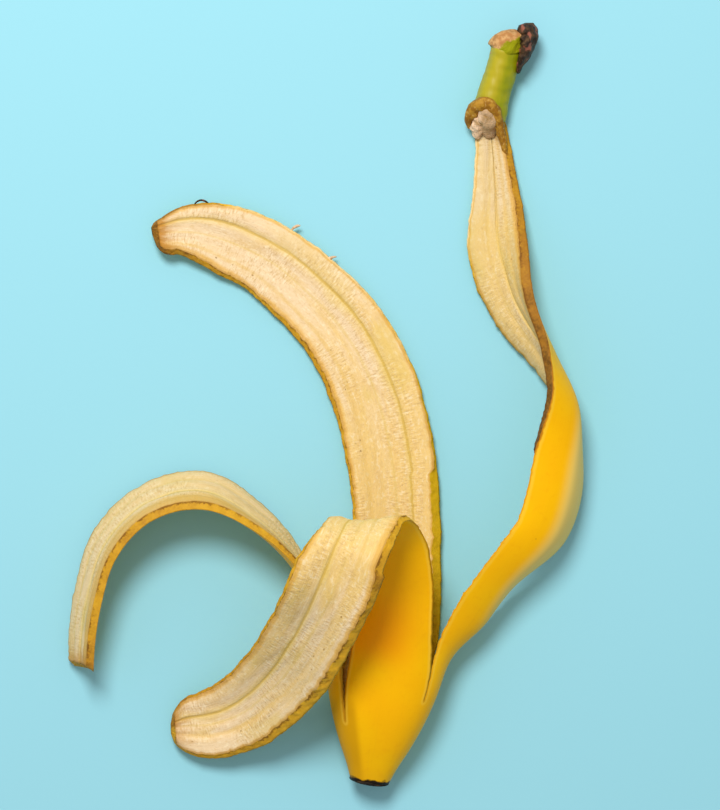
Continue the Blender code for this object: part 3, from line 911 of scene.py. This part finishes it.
def ripe_skin():
    """Outer side: deep yellow, softly mottled, few freckles, darker along the torn edges."""
    paint = Paint("ripe_skin", 0.46, 0.1, SKIN)
    here = paint.here()
    east = paint.part(here, 0)
    north = paint.part(here, 1)
    fibre = paint.read("fibre", "Vector")
    edge = paint.read("edge")
    run = paint.read("run")
    brown = paint.read("brown")
    cloud = paint.noise(here, 0.05, 3.0)
    fine = paint.noise(here, 0.6, 3.0)
    streak = paint.noise(fibre, (1.2, 0.03, 1.0))
    base = paint.blend(cloud, 0.35, 0.7, "deep yellow", "bright yellow")
    base = paint.layers(base, (
        (fine, 0.5, 0.85, 0.3, "orange cloud"),
        (streak, 0.55, 0.8, 0.25, "streak"),
    ))
    # Painted sheen: the pale facet of the outer strip.
    base = paint.over(base, paint.read("pale") * 0.8, "painted sheen facet")
    # Painted shade: the darker west facet of the base.
    facet_line = (north - FACET_NORTH) * FACET_LEAN + FACET_EAST
    facet = (east - facet_line).between(*FACET_SIDE) * north.between(*FACET_START)
    base = paint.over(base, facet * 0.9, "painted shade facet")
    # Painted bounce light: the shaded foot of the rising strip, under the flap, turned more orange.
    foot = paint.on_strip(TOP_STRIP) * run.between(*BOUNCE_START) * run.between(*BOUNCE_STOP)
    foot = foot * paint.part(fibre, 0).between(*BOUNCE_ACROSS)
    base = paint.over(base, foot, "painted bounce orange")
    freckle = paint.spots(here, 0.13, 0.07, 0.15)
    base = paint.over(base, freckle * 0.4, "freckle")
    light = edge.between(1.6, 0.9) * edge.between(0.2, 0.6)
    base = paint.over(base, light * 0.35, "light edge")
    rim = (edge + (fine - 0.5) * 0.8).between(0.8, 0.2)
    base = paint.over(base, rim * (brown * 0.7 + 0.35), "brown rim")
    ragged_tip = run + (paint.noise(here, 0.5) - 0.5) * 2.4
    base = paint.layers(base, (
        (run, 7.0, 1.5, 0.35, "dull tip"),
        (ragged_tip, 1.5, 0.7, 1.0, "black tip"),
    ))
    height = fine * 0.35 + streak * 0.4
    return paint.finish(base, paint.bump(height, 0.2, 0.0003), fine * 0.12 + 0.38)


def inner_pith():
    """Inner side: cream, with long fibres and veins, short cross marks, and brown specks."""
    paint = Paint("inner_pith", 0.66, 0.2, PITH)
    fibre = paint.read("fibre", "Vector")
    veins = paint.read("veins", "Vector")
    edge = paint.read("edge")
    brown = paint.read("brown")
    stain = paint.read("stain")
    warm = paint.read("warm")
    left = paint.read("left")
    dull = paint.read("dull")
    wander = paint.noise(fibre, (0.15, 0.05, 1.0)) - 0.5
    band = paint.noise(fibre, (0.26, 0.014, 1.0)) - 0.5
    cloud = paint.noise(fibre, (0.16, 0.07, 1.0), 3.0)
    patch = paint.noise(fibre, (0.07, 0.035, 1.0))
    thread = paint.noise(fibre, (2.4, 0.10, 1.0), 3.0, 0.65)
    grain = paint.noise(fibre, (1.7, 1.1, 1.0), 3.0, 0.65)
    cross = paint.noise(fibre, (0.5, 1.7, 1.0), 2.0, 0.6)
    mottle = paint.noise(fibre, (0.75, 0.4, 1.0), 3.0, 0.6)
    lined = paint.noise(fibre, (0.1, 0.05, 1.0), 1.0).between(0.4, 0.58)
    streak = paint.noise(fibre, (0.9, 0.12, 1.0), 3.0)
    tone = warm + band * 1.6 + (cloud - 0.5) * 0.8
    base = paint.blend(tone, 0.1, 0.9, "pink cream", "yellow cream")
    main = abs(paint.part(veins, 0) + wander * 1.6)
    second = abs(paint.part(veins, 1) + wander * 1.2)
    third = abs(paint.part(veins, 2) + wander * 1.4)
    base = paint.layers(base, (
        (cloud, 0.5, 0.72, 0.45, "cloud"),
        (mottle, 0.54, 0.68, 0.45, "light mottle"),
        (mottle, 0.46, 0.34, 0.4, "dark mottle"),
        (grain, 0.52, 0.78, 0.4, "light grain"),
        (grain, 0.46, 0.25, 0.4, "dark grain"),
        (thread, 0.55, 0.78, 0.4, "dark thread"),
        (thread, 0.44, 0.26, 0.35, "light thread"),
        (patch, 0.54, 0.66, (warm + 0.3) * 0.5, "yellow patch"),
        (cross, 0.52, 0.66, lined * 0.6, "dark cross"),
        (cross, 0.46, 0.34, lined * 0.4, "light cross"),
    ))
    # Painted shade: the inner face of the strips standing on edge, dulled to grey yellow.
    base = paint.over(base, dull * 0.4, "dull")
    base = paint.layers(base, (
        (main, 2.2, 0.3, 0.4, "beside vein"),
        # The same painted shade also fades the main vein.
        (main, 0.7, 0.15, 0.65 - dull * 0.6, "main vein"),
        (second, 1.2, 0.1, 0.4, "second vein"),
        (third, 0.8, 0.1, 0.35, "third vein"),
    ))
    speck = paint.spots(fibre, (0.55, 0.4, 1.0), 0.2, 0.3)
    column = abs(paint.part(veins, 1) - 1.2).between(2.6, 0.4)
    base = paint.over(base, speck * (column * 0.6 + 0.18), "speck")
    spread = stain + (cloud - 0.5) * 0.6
    tear = edge + (thread - 0.5) * 2.2 + (grain - 0.5) * 1.4
    burnt = left + (streak - 0.5) * 16.0
    base = paint.layers(base, (
        (spread, 0.1, 0.75, 0.65, "stain"),
        (tear, 1.0, 0.0, brown * 0.75 + 0.15, "torn edge"),
        (burnt, 9.0, 1.0, brown * 1.2 * 0.9, "burnt end"),
    ))
    height = thread * 0.5 + grain * 0.5 + cross * lined * 0.6 + cloud * 0.7 - main.between(0.8, 0.1) * 0.4
    return paint.finish(base, paint.bump(height, 0.55, 0.0006))


def torn_face():
    """Face of the tear: cream or yellow, ochre to brown with age, a dark line inside; on the under strip's
    east side yellow skin, olive with painted shade.
    """
    paint = Paint("torn_face", 0.6, 0.12, TEAR)
    here = paint.here()
    depth = paint.read("depth")
    brown = paint.read("brown")
    rough = paint.noise(here, 1.3, 3.0, 0.6)
    long = paint.noise(here, 0.3, 3.0)
    age = brown + (long - 0.5) * 0.5 + (rough - 0.5) * 0.35
    base = paint.blend(age, -0.35, 0.05, "cream", "yellow")
    base = paint.layers(base, (
        (age, 0.0, 0.4, 1.0, "ochre"),
        (age, 0.35, 0.75, 1.0, "brown"),
        (age, 0.7, 1.05, 1.0, "dark brown"),
    ))
    # Yellow skin shows on the under strip's east tear, darkened to olive as painted shade.
    shaded_olive = paint.on_strip(UNDER_STRIP) * paint.part(here, 0).between(*TEAR_EAST)
    base = paint.over(base, shaded_olive * 0.75, "shaded_olive")
    line = (depth + (rough - 0.5) * 0.9).between(0.68, 0.92) * long.between(0.36, 0.56)
    base = paint.over(base, line * brown.between(0.0, 0.2) * 0.8, "line")
    return paint.finish(base, paint.bump(rough + long * 0.5, 0.35, 0.0005))


def torn_collar():
    """Rim of the stem's torn end: brown orange, fibrous."""
    paint = Paint("torn_collar", 0.65, 0.2, COLLAR)
    here = paint.here()
    lump = paint.noise(here, 0.6, 3.0)
    fine = paint.noise(here, (2.2, 1.0, 2.2))
    base = paint.blend(lump, 0.4, 0.65, "brown", "ochre")
    base = paint.layers(base, (
        (fine, 0.55, 0.75, 0.6, "dark fleck"),
        (fine, 0.42, 0.25, 0.5, "light fleck"),
    ))
    return paint.finish(base, paint.bump(lump + fine * 0.7, 0.4, 0.0005))


def dried_pulp():
    """Shreds of fruit left in the collar: pinkish cream, with grey brown painted shade in the hollows of
    its lumps and in its hollow middle.
    """
    paint = Paint("dried_pulp", 0.7, 0.2, PULP)
    here = paint.here()
    lump = paint.noise(here, 0.45, 3.0)
    fine = paint.noise(here, (1.8, 0.8, 1.8), 3.0)
    # Grey brown painted shade where the lumps dip, as the bump dips there too.
    base = paint.blend(lump, 0.3, 0.5, "brown", "pink cream")
    base = paint.layers(base, (
        (fine, 0.55, 0.75, 0.5, "light fleck"),
        (fine, 0.42, 0.25, 0.4, "dark fleck"),
        # Painted shade in the pulp's hollow middle.
        (paint.part(here, 0), *PULP_PAINTED_SHADE, 0.55, "hollow"),
    ))
    return paint.finish(base, paint.bump(lump + fine * 0.6, 0.9, 0.0009))


def blossom_scar():
    """Dried blossom end: nearly black."""
    paint = Paint("blossom_scar", 0.7, 0.15, SCAR)
    lump = paint.noise(paint.here(), 0.7, 3.0)
    base = paint.blend(lump, 0.4, 0.7, "black", "brown")
    return paint.finish(base, paint.bump(lump, 0.8, 0.0008))


def green_stem():
    """Stem: green, to yellow towards the west side, with faint lengthwise lines."""
    paint = Paint("green_stem", 0.45, 0.25, STEM)
    here = paint.here()
    line = paint.noise(here, (0.9, 0.12, 0.9), 3.0)
    cloud = paint.noise(here, (0.25, 0.2, 0.25))
    side = paint.part(here, 0) - paint.read("run") * STEM_LEAN
    base = paint.blend(cloud, 0.35, 0.7, "green", "light green")
    base = paint.layers(base, (
        (side, *STEM_WEST, 0.6, "yellow west"),
        (line, 0.55, 0.75, 0.25, "line"),
    ))
    return paint.finish(base, paint.bump(line, 0.3, 0.0004))


def tan_callus():
    """Dried cut: orange tan, knobbly, with dark flecks, and green skin below."""
    paint = Paint("tan_callus", 0.7, 0.15, CALLUS)
    here = paint.here()
    lump = paint.noise(here, 0.7, 3.0)
    fleck = paint.noise(here, 1.8)
    above = paint.part(here, 1) - paint.part(here, 0) * CALLUS_SLOPE + (lump - 0.5) * 3.0
    base = paint.blend(lump, 0.35, 0.65, "dark tan", "tan")
    base = paint.layers(base, (
        (fleck, 0.6, 0.75, 0.7, "fleck"),
        (above, CALLUS_LINE + CALLUS_SOFT, CALLUS_LINE - CALLUS_SOFT, 1.0, "green"),
    ))
    return paint.finish(base, paint.bump(lump + fleck * 0.6, 0.6, 0.0007))


def dark_husk():
    """Dead skin by the cut: nearly black brown, with reddish patches."""
    paint = Paint("dark_husk", 0.6, 0.25, HUSK)
    here = paint.here()
    lump = paint.noise(here, (0.6, 0.45, 0.6), 3.0)
    fine = paint.noise(here, (2.0, 1.2, 2.0))
    patch = paint.noise(here, (0.4, 0.35, 0.4), 1.0)
    base = paint.blend(lump, 0.4, 0.65, "black", "brown")
    base = paint.layers(base, (
        (patch, 0.56, 0.66, 0.7, "red patch"),
        (fine, 0.62, 0.8, 0.5, "fleck"),
    ))
    return paint.finish(base, paint.bump(lump + fine * 0.5, 0.9, 0.0009))


# Stage, camera and light.
def make_stage():
    made = bmesh.new()
    bmesh.ops.create_grid(made, x_segments=1, y_segments=1, size=FLOOR_SIZE)
    paint = Paint("pale_floor", 0.85, 0.1, FLOOR)
    finish_mesh(made, "floor", [paint.finish(paint.colours["pale blue"])])


def make_camera():
    data = bpy.data.cameras.new("camera")
    data.sensor_width = SENSOR
    data.lens = SENSOR * CAMERA_HEIGHT / (FRAME_HEIGHT * PIXEL)
    camera = add_object("camera", data)
    camera.location = Vector((CAMERA_EAST, CAMERA_NORTH, CAMERA_HEIGHT)) * MM
    bpy.context.scene.camera = camera


def make_light():
    aim = Vector(LAMP_AIM)
    away = Vector(LAMP_AWAY).normalized()
    data = bpy.data.lights.new("window", "AREA")
    data.shape = "DISK"
    data.size = LAMP_SIZE
    data.energy = LAMP_POWER
    lamp = add_object("window", data)
    lamp.location = aim + away * LAMP_DISTANCE
    lamp.rotation_euler = away.to_track_quat("Z", "Y").to_euler()
    world = bpy.data.worlds.new("sky")
    world.use_nodes = True
    sky = world.node_tree.nodes["Background"]
    sky.inputs["Color"].default_value = (1.0, 1.0, 1.0, 1.0)
    sky.inputs["Strength"].default_value = SKY_STRENGTH
    bpy.context.scene.world = world
    bpy.context.scene.view_settings.view_transform = "Standard"


def scar_rings():
    """Rings of the dried blossom end, placed along the leaning axis of the base."""
    lean = math.radians(BASE_BEARING)
    rings = []
    for back, half_width, half_height in BLOSSOM_SCAR:
        east = TIP_EAST + back * math.sin(lean)
        north = TIP_NORTH + back * math.cos(lean)
        rings.append((east, north, BASE_AXIS_HEIGHT[0] + SCAR_RISE * back, half_width, half_height))
    return rings


make_stage()
make_camera()
make_light()
peel = make_peel([ripe_skin(), inner_pith(), torn_face()])
pulp = dried_pulp()
dead_skin = dark_husk()
# Each round piece: name, rings, finish, points around and along, ribs, lumps, seed, end middles.
pieces = [
    peel,
    tube("stem", STEM_RINGS, green_stem(), 48, 60, 0.28, 0.05, 3),
    tube("callus", CALLUS_RINGS, tan_callus(), 48, 30, 0.2, 0.28, 5, 0.4),
    tube("husk", HUSK_RINGS, dead_skin, 40, 46, 0.3, 0.34, 8, 0.4),
    tube("collar", COLLAR_RINGS, torn_collar(), 24, 90, 0.3, 0.3, 11),
    tube("pulp", PULP_RINGS, pulp, 48, 50, 0.1, 0.3, 14),
    tube("shred", SHRED_RINGS, pulp, 30, 40, 0.1, 0.5, 17),
    tube("dark_curl", CURL_RINGS, dead_skin, 12, 30, 0.1, 0.2, 24),
    tube("west_wisp", WEST_WISP_RINGS, pulp, 12, 24, 0.3, 0.6, 27),
    tube("east_wisp", EAST_WISP_RINGS, pulp, 12, 24, 0.3, 0.6, 30),
    tube("blossom_tip", scar_rings(), blossom_scar(), 60, 24, 0.2, 0.25, 21, -1.6),
]
for piece in pieces:
    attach(piece, "root")
    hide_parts("banana_peel")

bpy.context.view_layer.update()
